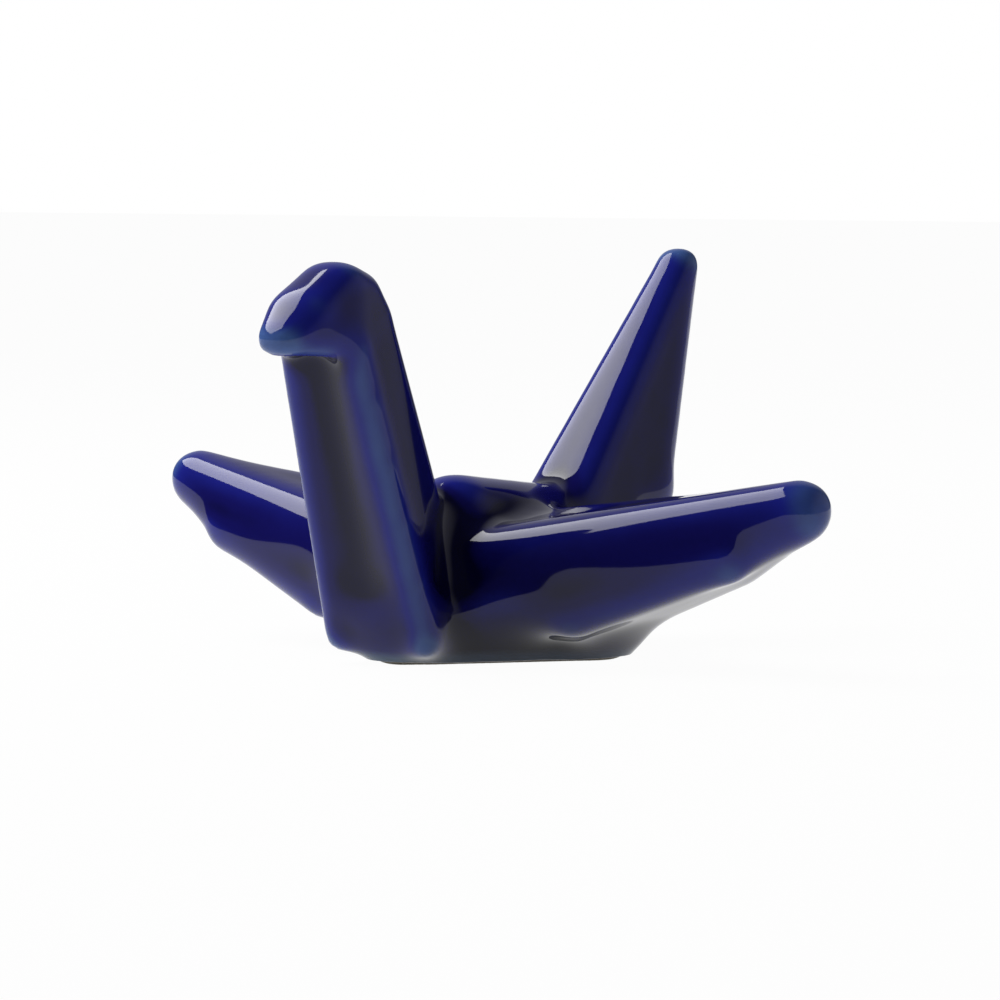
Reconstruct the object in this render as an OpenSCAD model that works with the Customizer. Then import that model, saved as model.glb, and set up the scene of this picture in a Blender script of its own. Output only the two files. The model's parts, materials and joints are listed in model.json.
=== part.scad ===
// Chopstick rest in the shape of a folded paper crane, in glazed stoneware.
// Millimetres. +Z is up, the beak points to -Y, and the wings spread along X.
// The foot stands on Z = 0, and the origin is on the table between the roots of the wings.
// Every member is a sheet with rounded edges: a flat triangle or two, thickened on both sides.
// The members melt into each other, and rays cast from each member's spine find the common surface.

/* [Wings] */
// Distance between the outermost points of the two wings
wing_span = 74.2; // [70:0.1:80]
// Height of the middle of a wing tip above the table
wing_tip_z = 14.4; // [12.5:0.1:16]
// How far behind the origin a wing tip lies
wing_tip_y = 0.6; // [-1:0.1:2]
// Half the thickness of a wing at its tip
wing_tip_r = 2.5; // [2.2:0.1:2.8]
// Half the thickness of a wing at the bend in its lower edge
elbow_r = 2.7; // [2.4:0.1:3]
// Half the thickness of a wing at its root
wing_root_r = 3.5; // [3.2:0.1:3.8]
// Distance of a wing's front upper root corner from the middle plane
shoulder_x = 4.2; // [3.8:0.1:4.6]
// How far in front of the origin that corner lies
shoulder_fore = 5.6; // [5.2:0.1:6]
// Height of that corner
shoulder_z = 8.0; // [7.6:0.1:8.4]
// Distance of a wing's rear upper root corner from the middle plane
crest_x = 3.7; // [3.3:0.1:4.1]
// How far behind the origin that corner lies
crest_rear = 3.7; // [3.3:0.1:4.1]
// Height of that corner
crest_z = 9.5; // [9.1:0.1:9.9]
// Distance of a wing's lower root corner from the middle plane
keel_x = 14.2; // [13.8:0.1:14.6]
// How far in front of the origin that corner lies
keel_fore = 2.0; // [1.6:0.1:2.4]
// Height of that corner
keel_z = 4.6; // [4.3:0.1:4.9]
// Distance from the middle plane of the bend in a wing's lower edge
elbow_x = 28.5; // [27.5:0.1:29.5]
// How far in front of the origin that bend lies
elbow_fore = 1.1; // [0.8:0.1:1.4]
// Height of that bend
elbow_z = 10.2; // [9.8:0.1:10.6]
// Roundness of the change from one wing to the other
wing_fold_round = 1.85; // [1.7:0.05:2]
// Softness of the ridge along a wing's top
crest_soft = 1.0; // [0.8:0.1:1.2]

/* [Neck] */
// Height of the nape, where the fold along the neck's rear ends
nape_z = 30.8; // [29:0.1:33]
// How far in front of the origin the nape lies
nape_y = 16.7; // [15.7:0.1:17.7]
// How far in front of the origin the fold starts
fold_foot_y = 5.0; // [4.4:0.1:5.6]
// Height at which the fold starts
fold_foot_z = 2.0; // [1.7:0.1:2.3]
// Half the thickness of the neck along its fold
fold_r = 2.0; // [1.8:0.1:2.2]
// Roundness of the fold along the middle of the neck and head
fold_round = 1.0; // [0.8:0.1:1.2]
// Distance from the nape forward to the tops of the two front ridges
ridge_top_fore = 5.6; // [5.1:0.1:6.1]
// How far the tops of the front ridges lie below the nape
ridge_top_down = 2.4; // [2:0.1:2.8]
// Half the distance between the two front ridges at the top
ridge_top_x = 1.85; // [1.55:0.05:2.15]
// Half the distance between the two front ridges at the foot
ridge_foot_x = 2.9; // [2.6:0.1:3.2]
// How far in front of the origin the front ridges start
ridge_foot_y = 14.9; // [14.4:0.1:15.4]
// Height at which the front ridges start
ridge_foot_z = 2.6; // [2.3:0.1:2.9]
// Half the thickness of the neck at the front ridges
ridge_r = 1.5; // [1.3:0.1:1.7]
// Depth of the groove between the front ridges
groove_deep = 1.8; // [1.4:0.1:2.2]

/* [Head] */
// Height of the crown's middle above the nape
crown_up = 1.2; // [0.8:0.1:1.6]
// Distance of the crown's middle in front of the nape
crown_fore = 3.0; // [2.6:0.1:3.4]
// Half the thickness of the crown
crown_r = 3.8; // [3.5:0.1:4.1]
// Distance of the brow in front of the nape
brow_fore = 7.6; // [7.2:0.1:8]
// Distance of the brow below the nape
brow_down = 0.3; // [0:0.1:0.6]
// Half the thickness of the brow
brow_r = 2.5; // [2.3:0.1:2.7]
// Half the distance between the two cheeks
cheek_x = 1.7; // [1.4:0.1:2]
// Distance of the cheeks in front of the nape
cheek_fore = 5.5; // [5.1:0.1:5.9]
// Distance of the cheeks below the nape
cheek_down = 1.4; // [1.1:0.1:1.7]
// Distance of the beak's end in front of the nape
beak_fore = 11.0; // [10.2:0.1:11.8]
// Distance of the beak's end below the nape
beak_down = 1.6; // [1.3:0.1:1.9]
// Half the thickness of the beak's end
beak_r = 1.3; // [1.15:0.05:1.45]

/* [Tail] */
// Height of the middle of the tail's tip
tail_tip_z = 34.4; // [31:0.1:38]
// How far behind the origin the tail's tip lies
tail_tip_y = 29.8; // [28:0.1:32]
// How far behind the origin the front edge of the tail starts
tail_front_y = 12.0; // [11:0.1:13]
// Length of the tail's base from front to rear
tail_base = 11.2; // [9.5:0.1:12.5]
// Height at which the tail starts inside the body
tail_base_z = 13.5; // [13:0.1:14]
// Half the thickness of the tail at its base
tail_base_r = 3.4; // [3.1:0.1:3.7]
// Half the thickness of the tail at its tip
tail_tip_r = 2.05; // [1.75:0.05:2.35]

/* [Body] */
// Height of the middle of the back, just behind the neck
back_front_z = 12.4; // [12:0.1:12.7]
// Height of the middle of the back in the saddle
back_mid_z = 10.9; // [10.6:0.1:11.2]
// Height of the middle of the back at its rear end
back_rear_z = 10.0; // [9.7:0.1:10.3]
// How far in front of the origin the back starts
back_front_y = 3.9; // [3.5:0.1:4.3]
// How far behind the origin the back ends
back_rear_y = 16.4; // [15.8:0.1:17]
// How far behind the middle of the back its lowest point lies
saddle_shift = 2.0; // [1.6:0.1:2.4]
// Half the thickness of the back
body_r = 4.1; // [3.8:0.1:4.4]
// Height of the line inside the body from which its flanks slope down
belly_z = 7.5; // [7.2:0.1:7.8]
// Distance of a flank's lower corner from the middle plane
flank_x = 8.6; // [8.2:0.1:9]
// Height of that corner
flank_z = 3.0; // [2.7:0.1:3.3]
// Half the thickness of the flanks
flank_r = 3.6; // [3.4:0.1:3.8]

/* [Foot] */
// How far in front of the origin the foot's middle line starts
foot_front_y = 11.9; // [11.4:0.1:12.4]
// How far behind the origin the foot's middle line ends
foot_rear_y = 15.6; // [15:0.1:16.2]
// Half the width between the two side corners of the foot's middle
foot_side_x = 9.8; // [9.3:0.1:10.3]
// How far behind the origin the side corners lie
foot_side_y = 2.6; // [2:0.1:3.2]
// Distance of the foot's wall from the triangle of its middle, on the table
foot_r = 4.0; // [3.7:0.1:4.3]
// How far the foot's wall leans outwards for each millimetre of height
foot_lean = 0.12; // [0.08:0.01:0.16]
// Height at which the foot ends inside the body
foot_top = 6.0; // [5.7:0.1:6.3]
// Softness of the edge where the foot ends
foot_top_soft = 3.0; // [2.6:0.1:3.4]

/* [Joints and glaze] */
// Distance in front of the origin of the crease behind the neck, where the neck's joint comes out
neck_joint_y = 7.8; // [7.5:0.1:8.1]
// Height of the crease behind the neck
neck_joint_z = 16.0; // [15.7:0.1:16.5]
// Backward slope of the joint between neck and body, in degrees
neck_joint_tilt = 11; // [9:1:13]
// Distance of the wing joints outside the foot's wall
wing_joint_gap = 0.5; // [0.3:0.1:1]
// Height of the tail's joint above the middle of the tail's base
tail_joint_up = 2.6; // [2.4:0.1:3]
// How far in front of the tail's sheet its joint starts to cut the back
tail_joint_fore = 4.4; // [4.2:0.1:4.8]
// Distance of the joint between neck and head in front of the nape
head_joint_fore = 2.25; // [1.95:0.05:2.55]
// Height of the nape above the joint between neck and head
head_joint_down = 1.9; // [1.6:0.1:2.2]
// Slope of the joint between neck and head, in degrees
head_joint_tilt = 15.5; // [14:0.5:17]
// Thickness of the glaze
glaze = 0.35; // [0.25:0.05:0.45]
// Height of the bare clay above the table
bare_foot = 0.6; // [0.4:0.1:1]

/* [Blends] */
// Softness of the corner between neck and body
blend_neck = 2.0; // [1.6:0.1:2.4]
// Softness of the corner between tail and body
blend_tail = 1.4; // [1.1:0.1:1.7]
// Softness of the corner between wings and body
blend_wing = 2.8; // [2.4:0.1:3.2]
// Softness of the corner between flanks and foot
blend_flank = 1.0; // [0.8:0.1:1.2]
// Softness of the corner between foot and body
blend_foot = 3.7; // [3.3:0.1:4.1]
// Softness of the corner between neck and head
blend_head = 1.0; // [0.8:0.1:1.2]

/* [Hidden] */

clay_colour = "#d8cdb8";
glaze_colour = "#15135c";

// Halvings that place a surface point on its ray
halvings = 17;
// How far a solid runs past a joint before it is cut there
overrun = 4;
// How far outside the neck's own sheet its corners with the body may reach
neck_margin = 0.7;
// Least share of a sheet's thickness that stands upright on its middle
flattest = 0.05;
// Depth to which the foot's wall runs on below the table, before it is cut there
foot_below = 4;
// Room that a cutting block leaves around the figure
room = 60;
// Distance at which a member no longer matters to the surface
far = 9;

// Corners of the neck's sheets, right half: the fold, the front ridge, and the groove's bottom
nape = [0, -nape_y, nape_z];
fold_foot = [0, -fold_foot_y, fold_foot_z];
ridge_top = nape + [ridge_top_x, -ridge_top_fore, -ridge_top_down];
ridge_foot = [ridge_foot_x, -ridge_foot_y, ridge_foot_z];
groove_top = [0, ridge_top.y + groove_deep, ridge_top.z];
groove_foot = [0, ridge_foot.y + groove_deep, ridge_foot.z];

// Corners of the head's sheets, right half
crown = nape + [0, -crown_fore, crown_up];
brow = nape + [0, -brow_fore, -brow_down];
cheek = nape + [cheek_x, -cheek_fore, -cheek_down];
beak = nape + [0, -beak_fore, -beak_down];

// Corners of the tail, in the middle plane
tail_front = [0, tail_front_y, tail_base_z];
tail_rear = [0, tail_front_y + tail_base, tail_base_z];
tail_mid = (tail_front + tail_rear) / 2;
tail_tip = [0, tail_tip_y, tail_tip_z];

// Points of the wing, body and foot
wing_tip = [wing_span / 2 - wing_tip_r, wing_tip_y, wing_tip_z];
wing_shoulder = [shoulder_x, -shoulder_fore, shoulder_z];
wing_crest = [crest_x, crest_rear, crest_z];
wing_keel = [keel_x, -keel_fore, keel_z];
wing_elbow = [elbow_x, -elbow_fore, elbow_z];
wing_mid = (wing_shoulder + wing_keel) / 2;
back_front = [0, -back_front_y, back_front_z];
back_mid = [0, (back_rear_y - back_front_y) / 2 + saddle_shift, back_mid_z];
back_rear = [0, back_rear_y, back_rear_z];
belly_front = [0, foot_side_y, belly_z];
belly_rear = [0, foot_rear_y, belly_z];
flank = [flank_x, foot_side_y, flank_z];
foot_front = [0, -foot_front_y, 0];
foot_rear = [0, foot_rear_y, 0];
foot_side = [foot_side_x, foot_side_y, 0];

// Joint planes
wing_joint_x = foot_side_x + foot_r + foot_lean * foot_top + wing_joint_gap;
tail_joint_z = tail_base_z + tail_joint_up;
saddle_end_y = tail_front_y - tail_joint_fore;
neck_joint = [0, -neck_joint_y, neck_joint_z];
neck_joint_normal = [0, cos(neck_joint_tilt), -sin(neck_joint_tilt)];
// How far along Y the joint between neck and body lies at the height z
function neck_joint_at(z) = -neck_joint_y + (z - neck_joint_z) * tan(neck_joint_tilt);
head_joint_normal = [0, -sin(head_joint_tilt), cos(head_joint_tilt)];
head_joint = nape + [0, -head_joint_fore, -head_joint_down];

// Smaller and larger of two distances, with the corner between them rounded over k
function soft_min(a, b, k) =
    let (h = max(k - abs(a - b), 0) / k)
    min(a, b) - h * h * k / 4;
function soft_max(a, b, k) = -soft_min(-a, -b, k);

// Signed distance from p to a round bar between two balls
function bar(p, a, b, ra, rb) =
    let (
        v = b - a,
        s = (ra - rb) / norm(v),
        t = (p - a) * v / (v * v),
        h = norm(p - a - v * t),
        f = max(0, min(1, t - h * s / sqrt(max(1 - s * s, flattest)) / norm(v)))
    )
    norm(p - a - v * f) - ra - (rb - ra) * f;

// Signed distance from p to a rounded sheet, the hull of three balls in a, b and c.
// Each of va, vb and vc is the slope of a corner's share, and v is the slope of the thickness.
function sheet(p, a, b, c, ra, rb, rc) =
    let (
        n = cross(b - a, c - a),
        va = cross(n, c - b) / (n * n),
        vb = cross(n, a - c) / (n * n),
        vc = cross(n, b - a) / (n * n),
        v = va * ra + vb * rb + vc * rc,
        h = abs(n * (p - a)) / norm(n) / sqrt(max(1 - v * v, flattest)),
        f = p + v * h,
        wa = va * (f - b),
        wb = vb * (f - c),
        wc = vc * (f - a)
    )
    wa >= 0 && wb >= 0 && wc >= 0
        ? h - wa * ra - wb * rb - wc * rc
        : min(bar(p, a, b, ra, rb), bar(p, b, c, rb, rc), bar(p, c, a, rc, ra));

// The point turned over to one half, with the fold rounded over s
function folded(p, s) = [sqrt(p.x * p.x + s * s), p.y, p.z];
function neck_fold(p) = folded(p, fold_round) - [fold_round, 0, 0];
function wing_fold(p) = folded(p, wing_fold_round);

// Signed distances to the surfaces of the members
function neck_field(q) =
    min(
        sheet(q, nape, ridge_top, ridge_foot, fold_r, ridge_r, ridge_r),
        sheet(q, nape, ridge_foot, fold_foot, fold_r, ridge_r, fold_r),
        sheet(q, ridge_top, ridge_foot, groove_foot, ridge_r, ridge_r, ridge_r),
        sheet(q, ridge_top, groove_foot, groove_top, ridge_r, ridge_r, ridge_r),
        sheet(q, nape, groove_top, groove_foot, fold_r, ridge_r, ridge_r),
        sheet(q, nape, groove_foot, fold_foot, fold_r, ridge_r, fold_r)
    );

function head_field(q) =
    min(
        sheet(q, brow, beak, cheek, brow_r, beak_r, ridge_r),
        sheet(q, crown, brow, cheek, crown_r, brow_r, ridge_r),
        sheet(q, crown, nape, cheek, crown_r, fold_r, ridge_r)
    );

function tail_field(p) = sheet(p, tail_front, tail_rear, tail_tip, tail_base_r, tail_base_r, tail_tip_r);

function wing_field(w) =
    soft_min(
        min(
            sheet(w, wing_tip, wing_shoulder, wing_elbow, wing_tip_r, wing_root_r, elbow_r),
            sheet(w, wing_shoulder, wing_elbow, wing_keel, wing_root_r, elbow_r, wing_root_r)
        ),
        min(
            sheet(w, wing_tip, wing_shoulder, wing_crest, wing_tip_r, wing_root_r, wing_root_r),
            sheet(w, wing_tip, wing_crest, wing_keel, wing_tip_r, wing_root_r, wing_root_r)
        ),
        crest_soft
    );

// The foot is an upright plinth over a triangle, a little wider upwards
function foot_field(w) =
    soft_max(
        sheet([w.x, w.y, 0], foot_front, foot_side, foot_rear, foot_r, foot_r, foot_r) - foot_lean * w.z,
        max(w.z - foot_top, -w.z - foot_below),
        foot_top_soft
    );

function back_field(p) = sheet(p, back_front, back_rear, back_mid, body_r, body_r, body_r);
function flank_field(w) = sheet(w, belly_front, belly_rear, flank, flank_r, flank_r, flank_r);

function body_field(p, w) =
    soft_min(
        soft_min(wing_field(w), back_field(p), blend_wing),
        soft_min(flank_field(w), foot_field(w), blend_flank),
        blend_foot
    );

// Signed distance to the whole figure's surface; members far from p are left out
function crane_field(p) =
    let (
        trunk = p.z > tail_joint_z + far ? far : body_field(p, wing_fold(p)),
        q = neck_fold(p),
        front = p.y > far ? far : soft_min(neck_field(q), head_field(q), blend_head),
        back = p.y < 0 ? far : tail_field(p)
    )
    soft_min(soft_min(trunk, back, blend_tail), front, blend_neck);

// Signed distance to the figure, cut a little outside the joints of the body
function body_zone(p) =
    max(
        crane_field(p),
        abs(p.x) - wing_joint_x - overrun,
        p.y > saddle_end_y ? p.z - tail_joint_z - overrun : -far
    );

// Signed distance to the figure near the neck and the foot, cut a little behind the joint of the neck
function neck_zone(p) =
    max(
        crane_field(p),
        (p - neck_joint) * neck_joint_normal - overrun,
        min(neck_field(neck_fold(p)), foot_field(wing_fold(p))) - neck_margin
    );

function unit(v) = v / norm(v);
function mix(a, b, t) = a + (b - a) * t;

// Length of the ray from o along d at which the zone's depth is inset
function reach(o, d, low, high, inset, zone, left = halvings) =
    let (m = (low + high) / 2)
    left == 0 ? m
        : zone(o + m * d) + inset < 0 ? reach(o, d, m, high, inset, zone, left - 1)
        : reach(o, d, low, m, inset, zone, left - 1);

// Spine of a limb: the rays start on the line from ROOT to TIP and spread round a normal that turns on it.
// SIDE is a ray's first direction, WIDE draws the rays towards SIDE, and LENGTH is longer than any ray.
ROOT = 0;
TIP = 1;
ROOT_NORMAL = 2;
TIP_NORMAL = 3;
SIDE = 4;
WIDE = 5;
LENGTH = 6;
RINGS = 7;
SIDES = 8;
CAPS = 9;
ZONE = 10;

X = [1, 0, 0];
Y = [0, 1, 0];
Z = [0, 0, 1];
whole = function(p) crane_field(p);
before_joint = function(p) neck_zone(p);
between_joints = function(p) body_zone(p);

// Each limb's first line is its spine and the second one its rays
wing_root = mix(wing_mid, wing_tip, (wing_joint_x - wing_mid.x) / (wing_tip.x - wing_mid.x));
wing_limb = [
    wing_root, wing_tip, X, X,
    Y, 1, 13, 9, 24, 5, whole
];

tail_root = mix(tail_mid, tail_tip, (tail_joint_z - tail_mid.z) / (tail_tip.z - tail_mid.z));
tail_limb = [
    tail_root, tail_tip, Z, Z,
    Y, 1.6, 16, 9, 22, 5, whole
];

// The head's spine ends inside the beak, in front of the neck's ridges
beak_heart_back = 2.6;
beak_heart_up = 0.6;
beak_heart = [0, beak.y + beak_heart_back, beak.z + beak_heart_up];
head_limb = [
    head_joint, beak_heart, head_joint_normal, -Y,
    X, 1, 18, 12, 26, 6, whole
];

// The neck's spine ends a little in front of the foot's middle line
neck_heart_fore = 1;
neck_heart_z = 2.8;
neck_heart = [0, -foot_front_y - neck_heart_fore, neck_heart_z];
neck_limb = [
    head_joint, neck_heart, -head_joint_normal, -Z,
    X, 0.8, 20, 14, 36, 5, before_joint
];

// The body's spine starts above the foot's rim, rises a little and ends inside the rear, past the back
spine_up = 1.5;
spine_rise = 2.5;
spine_past = 1;
spine_z = foot_r + spine_up;
body_root = [0, neck_joint_at(spine_z), spine_z];
body_heart = [0, back_rear_y + spine_past, spine_z + spine_rise];
body_limb = [
    body_root, body_heart, neck_joint_normal, Y,
    X, 1.8, 30, 16, 40, 6, between_joints
];

// Points where the rays of a limb meet its surface at part t of the spine, leaning lift degrees to the tip
function ring(limb, t, lift, inset) =
    let (
        o = mix(limb[ROOT], limb[TIP], t),
        n = unit(mix(limb[ROOT_NORMAL], limb[TIP_NORMAL], t * t)),
        up = cross(n, limb[SIDE])
    )
    [for (i = [0:limb[SIDES] - 1])
        let (
            a = 360 * i / limb[SIDES],
            d = unit(limb[SIDE] * limb[WIDE] * cos(a) + up * sin(a)) * cos(lift) + n * sin(lift)
        )
        o + d * reach(o, d, 0, limb[LENGTH], inset, limb[ZONE])];

// Rings along the spine, and then round its end
function rings(limb, inset) =
    concat(
        [for (i = [0:limb[RINGS]]) ring(limb, i / limb[RINGS], 0, inset)],
        [for (j = [1:limb[CAPS] - 1]) ring(limb, 1, 90 * j / limb[CAPS], inset)]
    );

// The last point of a limb, straight on from its spine
function pole(limb, inset) =
    limb[TIP] + limb[TIP_NORMAL] * reach(limb[TIP], limb[TIP_NORMAL], 0, limb[LENGTH], inset, limb[ZONE]);

// All points of a list of rings in one list
function flat(list) = [for (r = list) each r];

// Triangles between neighbouring rings of k points each, numbered from first
function band(first, count, k, turn = false) =
    [for (i = [0:count - 2], j = [0:k - 1])
        let (
            a = first + i * k + j,
            b = first + i * k + (j + 1) % k
        )
        each turn ? [[a, b, a + k], [b, b + k, a + k]] : [[a, a + k, b], [b, a + k, b + k]]];

// Triangles from one ring of k points to a single point
function fan(first, k, point, turn = false) =
    [for (j = [0:k - 1])
        let (
            a = first + j,
            b = first + (j + 1) % k
        )
        turn ? [b, a, point] : [a, b, point]];

// Solid clay of a limb, under its glaze
module limb_clay(limb) {
    list = rings(limb, glaze);
    k = limb[SIDES];
    n = k * len(list);
    polyhedron(
        points = concat(flat(list), [limb[ROOT], pole(limb, glaze)]),
        faces = concat(
            band(0, len(list), k),
            fan(0, k, n),
            fan(n - k, k, n + 1, true)
        )
    );
}

// Glaze of a limb: a cup that is open at the limb's root
module limb_glaze(limb) {
    outer = rings(limb, 0);
    inner = rings(limb, glaze);
    k = limb[SIDES];
    n = k * len(outer);
    polyhedron(
        points = concat(flat(outer), flat(inner), [pole(limb, 0), pole(limb, glaze)]),
        faces = concat(
            band(0, len(outer), k),
            band(n, len(inner), k, true),
            fan(n - k, k, 2 * n, true),
            fan(2 * n - k, k, 2 * n + 1),
            [for (j = [0:k - 1])
                let (i = (j + 1) % k)
                each [[j, i, n + j], [i, n + i, n + j]]]
        )
    );
}

// Block with the outline in Y and Z, reaching half_x to both sides
module outline_block(outline, half_x) {
    rotate([90, 0, 90])
        linear_extrude(2 * half_x, center = true)
            polygon(outline);
}

// Space of the neck: in front of its joint, above the height low
module neck_space(low) {
    outline_block(
        [[-room, low], [neck_joint_at(low), low], [neck_joint_at(room), room], [-room, room]],
        room
    );
}

// Space of the body: behind the neck's joint, between the wings, under the tail, above the height low
module body_space(low) {
    outline_block(
        [
            [neck_joint_at(low), low],
            [room, low],
            [room, tail_joint_z],
            [saddle_end_y, tail_joint_z],
            [saddle_end_y, neck_joint_z + overrun],
            [neck_joint_at(neck_joint_z + overrun), neck_joint_z + overrun]
        ],
        wing_joint_x
    );
}

module body() {
    color(clay_colour)
        intersection() {
            limb_clay(body_limb);
            body_space(0);
        }
}

module neck() {
    color(clay_colour)
        intersection() {
            limb_clay(neck_limb);
            neck_space(0);
        }
}

module head() {
    color(clay_colour)
        limb_clay(head_limb);
}

module tail() {
    color(clay_colour)
        limb_clay(tail_limb);
}

module left_wing() {
    color(clay_colour)
        limb_clay(wing_limb);
}

module right_wing() {
    color(clay_colour)
        mirror(X)
            limb_clay(wing_limb);
}

module body_glaze() {
    color(glaze_colour)
        intersection() {
            limb_glaze(body_limb);
            body_space(bare_foot);
        }
}

module neck_glaze() {
    color(glaze_colour)
        intersection() {
            limb_glaze(neck_limb);
            neck_space(bare_foot);
        }
}

module head_glaze() {
    color(glaze_colour)
        limb_glaze(head_limb);
}

module tail_glaze() {
    color(glaze_colour)
        limb_glaze(tail_limb);
}

module left_wing_glaze() {
    color(glaze_colour)
        limb_glaze(wing_limb);
}

module right_wing_glaze() {
    color(glaze_colour)
        mirror(X)
            limb_glaze(wing_limb);
}

body();
neck();
head();
tail();
left_wing();
right_wing();
body_glaze();
neck_glaze();
head_glaze();
tail_glaze();
left_wing_glaze();
right_wing_glaze();
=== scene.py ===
"""Looks of a chopstick rest: a folded paper crane in stoneware with a cobalt glaze.

The figure is worked out from one signed distance in millimetres, the distance to a set of
rounded sheets that melt into each other. Its zero level is the outside of the glaze, and the
clay lies one coat deeper. Both level surfaces are cut along the joints of the figure, so each
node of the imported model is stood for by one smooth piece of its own.
"""

from __future__ import annotations

import json
import logging
from collections.abc import Callable
from dataclasses import dataclass
from enum import Enum
from functools import cached_property

import bpy
import numpy as np
from mathutils import Matrix

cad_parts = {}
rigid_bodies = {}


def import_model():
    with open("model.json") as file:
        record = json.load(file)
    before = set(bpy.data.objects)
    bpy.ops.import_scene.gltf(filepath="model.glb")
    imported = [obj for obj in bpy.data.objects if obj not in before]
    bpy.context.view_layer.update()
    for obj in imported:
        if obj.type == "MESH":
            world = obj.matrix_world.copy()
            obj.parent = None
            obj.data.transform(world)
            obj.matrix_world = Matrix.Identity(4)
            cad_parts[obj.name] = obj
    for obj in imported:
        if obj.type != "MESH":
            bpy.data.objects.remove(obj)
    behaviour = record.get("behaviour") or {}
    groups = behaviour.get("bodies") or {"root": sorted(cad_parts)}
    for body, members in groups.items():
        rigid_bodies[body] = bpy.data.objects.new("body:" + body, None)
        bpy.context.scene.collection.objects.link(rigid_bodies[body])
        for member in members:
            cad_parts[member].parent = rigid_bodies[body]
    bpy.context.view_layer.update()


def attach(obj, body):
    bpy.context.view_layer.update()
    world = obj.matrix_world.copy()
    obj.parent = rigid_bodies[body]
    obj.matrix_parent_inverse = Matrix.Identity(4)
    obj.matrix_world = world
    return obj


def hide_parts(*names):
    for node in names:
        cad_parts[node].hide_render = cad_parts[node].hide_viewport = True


LOG = logging.getLogger("crane_rest")
MM = 0.001
ROOT_BODY = "root"
# Smallest value under the root that gives how far a sheet's sides lean.
FLATTEST = 0.05
# Length below which a vector counts as nothing.
NOTHING = 1e-12
# Square of the shortest edge along which a bend is measured.
SHORTEST_SQUARE = 1e-6

Array = np.ndarray
Distance = Callable[[Array], Array]


def soft_min(a: Array, b: Array, k: float) -> Array:
    """Smaller of two distances, lowered by up to k / 4 where they are within k of each other."""
    h = np.maximum(k - np.abs(a - b), 0.0) / k
    return np.minimum(a, b) - h * h * k / 4


def soft_max(a: Array, b: Array, k: float) -> Array:
    """Larger of two distances, raised by up to k / 4 where they are within k of each other."""
    return -soft_min(-a, -b, k)


def bar(p: Array, a: Array, b: Array, ra: float, rb: float) -> Array:
    """Signed distance from each point to a round bar: the hull of two balls.

    Along the axis the radius runs evenly from one ball's to the other's. The nearest ball's
    middle lies off the point's foot on the axis by the lean of the bar's sides. The distance
    is that to this middle, less the radius there.

    Args:
        p: points, one a row.
        a: middle of the first ball.
        b: middle of the second ball.
        ra: the first ball's radius.
        rb: the second ball's radius.

    Returns:
        One distance for each point.
    """
    along = b - a
    length = np.linalg.norm(along)
    t = (p - a) @ along / length**2
    aside = np.linalg.norm(p - a - t[:, None] * along, axis=1)
    sine = (ra - rb) / length
    t = np.clip(t - aside * sine / np.sqrt(max(1.0 - sine**2, FLATTEST)) / length, 0.0, 1.0)
    return np.linalg.norm(p - a - t[:, None] * along, axis=1) - ra - (rb - ra) * t


def sheet(p: Array, corners: tuple, thick: tuple) -> Array:
    """Signed distance from each point to a rounded sheet: the hull of three balls.

    Each place on the triangle is the middle of a ball, whose radius runs evenly between the
    corners'. The nearest ball's middle lies off the point's foot on the plane by the lean of
    the sheet's faces. The distance is that to this middle, less the radius there. Where the
    middle falls outside the triangle, the nearest of the bars along its sides counts instead.

    Args:
        p: points, one a row.
        corners: middles of the three balls.
        thick: half the sheet's thickness at each corner.

    Returns:
        One distance for each point.
    """
    a, b, c = (np.asarray(corner, float) for corner in corners)
    ra, rb, rc = thick
    n = np.cross(b - a, c - a)
    walls = np.stack([np.cross(n, c - b), np.cross(n, a - c), np.cross(n, b - a)], axis=1) / (n @ n)
    starts = np.array([walls[:, 0] @ b, walls[:, 1] @ c, walls[:, 2] @ a])
    slant = walls @ np.array(thick)
    upright = np.sqrt(max(1.0 - slant @ slant, FLATTEST))
    gap = np.abs(p @ n - a @ n) / np.linalg.norm(n)
    shares = p @ walls - starts + (gap / upright)[:, None] * (slant @ walls)
    result = gap / upright - shares @ np.array(thick)
    beside = np.any(shares < 0, axis=1)
    q = p[beside]
    result[beside] = np.minimum(
        np.minimum(bar(q, a, b, ra, rb), bar(q, b, c, rb, rc)), bar(q, c, a, rc, ra)
    )
    return result


def folded(p: Array, s: float, back: float = 0.0) -> Array:
    """The points turned over to the positive half, with the fold rounded.

    The new x is the root of the sum of the squares of x and s, less a share of s.

    Args:
        p: points, one a row.
        s: size of the rounding.
        back: share of that size by which the fold is moved back.

    Returns:
        The turned points.
    """
    q = p.copy()
    q[:, 0] = np.sqrt(p[:, 0] ** 2 + s * s) - back * s
    return q


def point(x: float, y: float, z: float) -> Array:
    """A point or a direction as an array."""
    return np.array([x, y, z], float)


def unit(v: Array) -> Array:
    """The vectors along the last axis, at length 1."""
    return v / np.maximum(np.linalg.norm(v, axis=-1, keepdims=True), NOTHING)


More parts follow.
